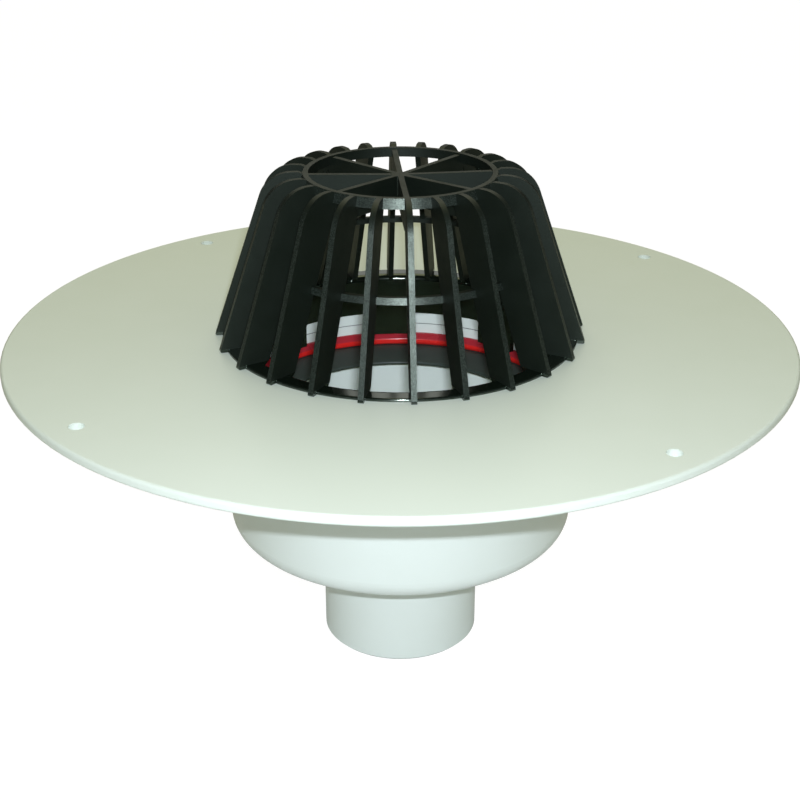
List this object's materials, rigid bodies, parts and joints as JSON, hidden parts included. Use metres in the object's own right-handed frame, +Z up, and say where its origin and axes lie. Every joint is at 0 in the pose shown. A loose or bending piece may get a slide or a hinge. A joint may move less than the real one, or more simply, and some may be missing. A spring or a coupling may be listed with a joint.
{
  "type": "flat roof drain",
  "caption": "Flat roof drain with a round bonding flange, a deep sump bowl with a straight outlet, a lip seal under a red clamping ring, and a loose finned leaf guard.",
  "frame": {"origin": "centre of the outlet's open lower end, where the drain stands", "axes": "+Z up along the drain's axis; the flange's fixing holes lie at 45 degrees to X and Y"},
  "size_m": [0.375, 0.375, 0.2425],
  "materials": {
    "flange_white": "smooth moulded",
    "bowl_white": "glossy moulded",
    "ring_red": "satin moulded",
    "seal_black": "matt rubber",
    "guard_black": "fine-grained moulded"
  },
  "bodies": {
    "root": {"roof_flange": "flange_white", "sump_bowl": "bowl_white", "clamp_ring": "ring_red", "lip_seal": "seal_black", "leaf_guard": "guard_black"}
  },
  "joints": []
}
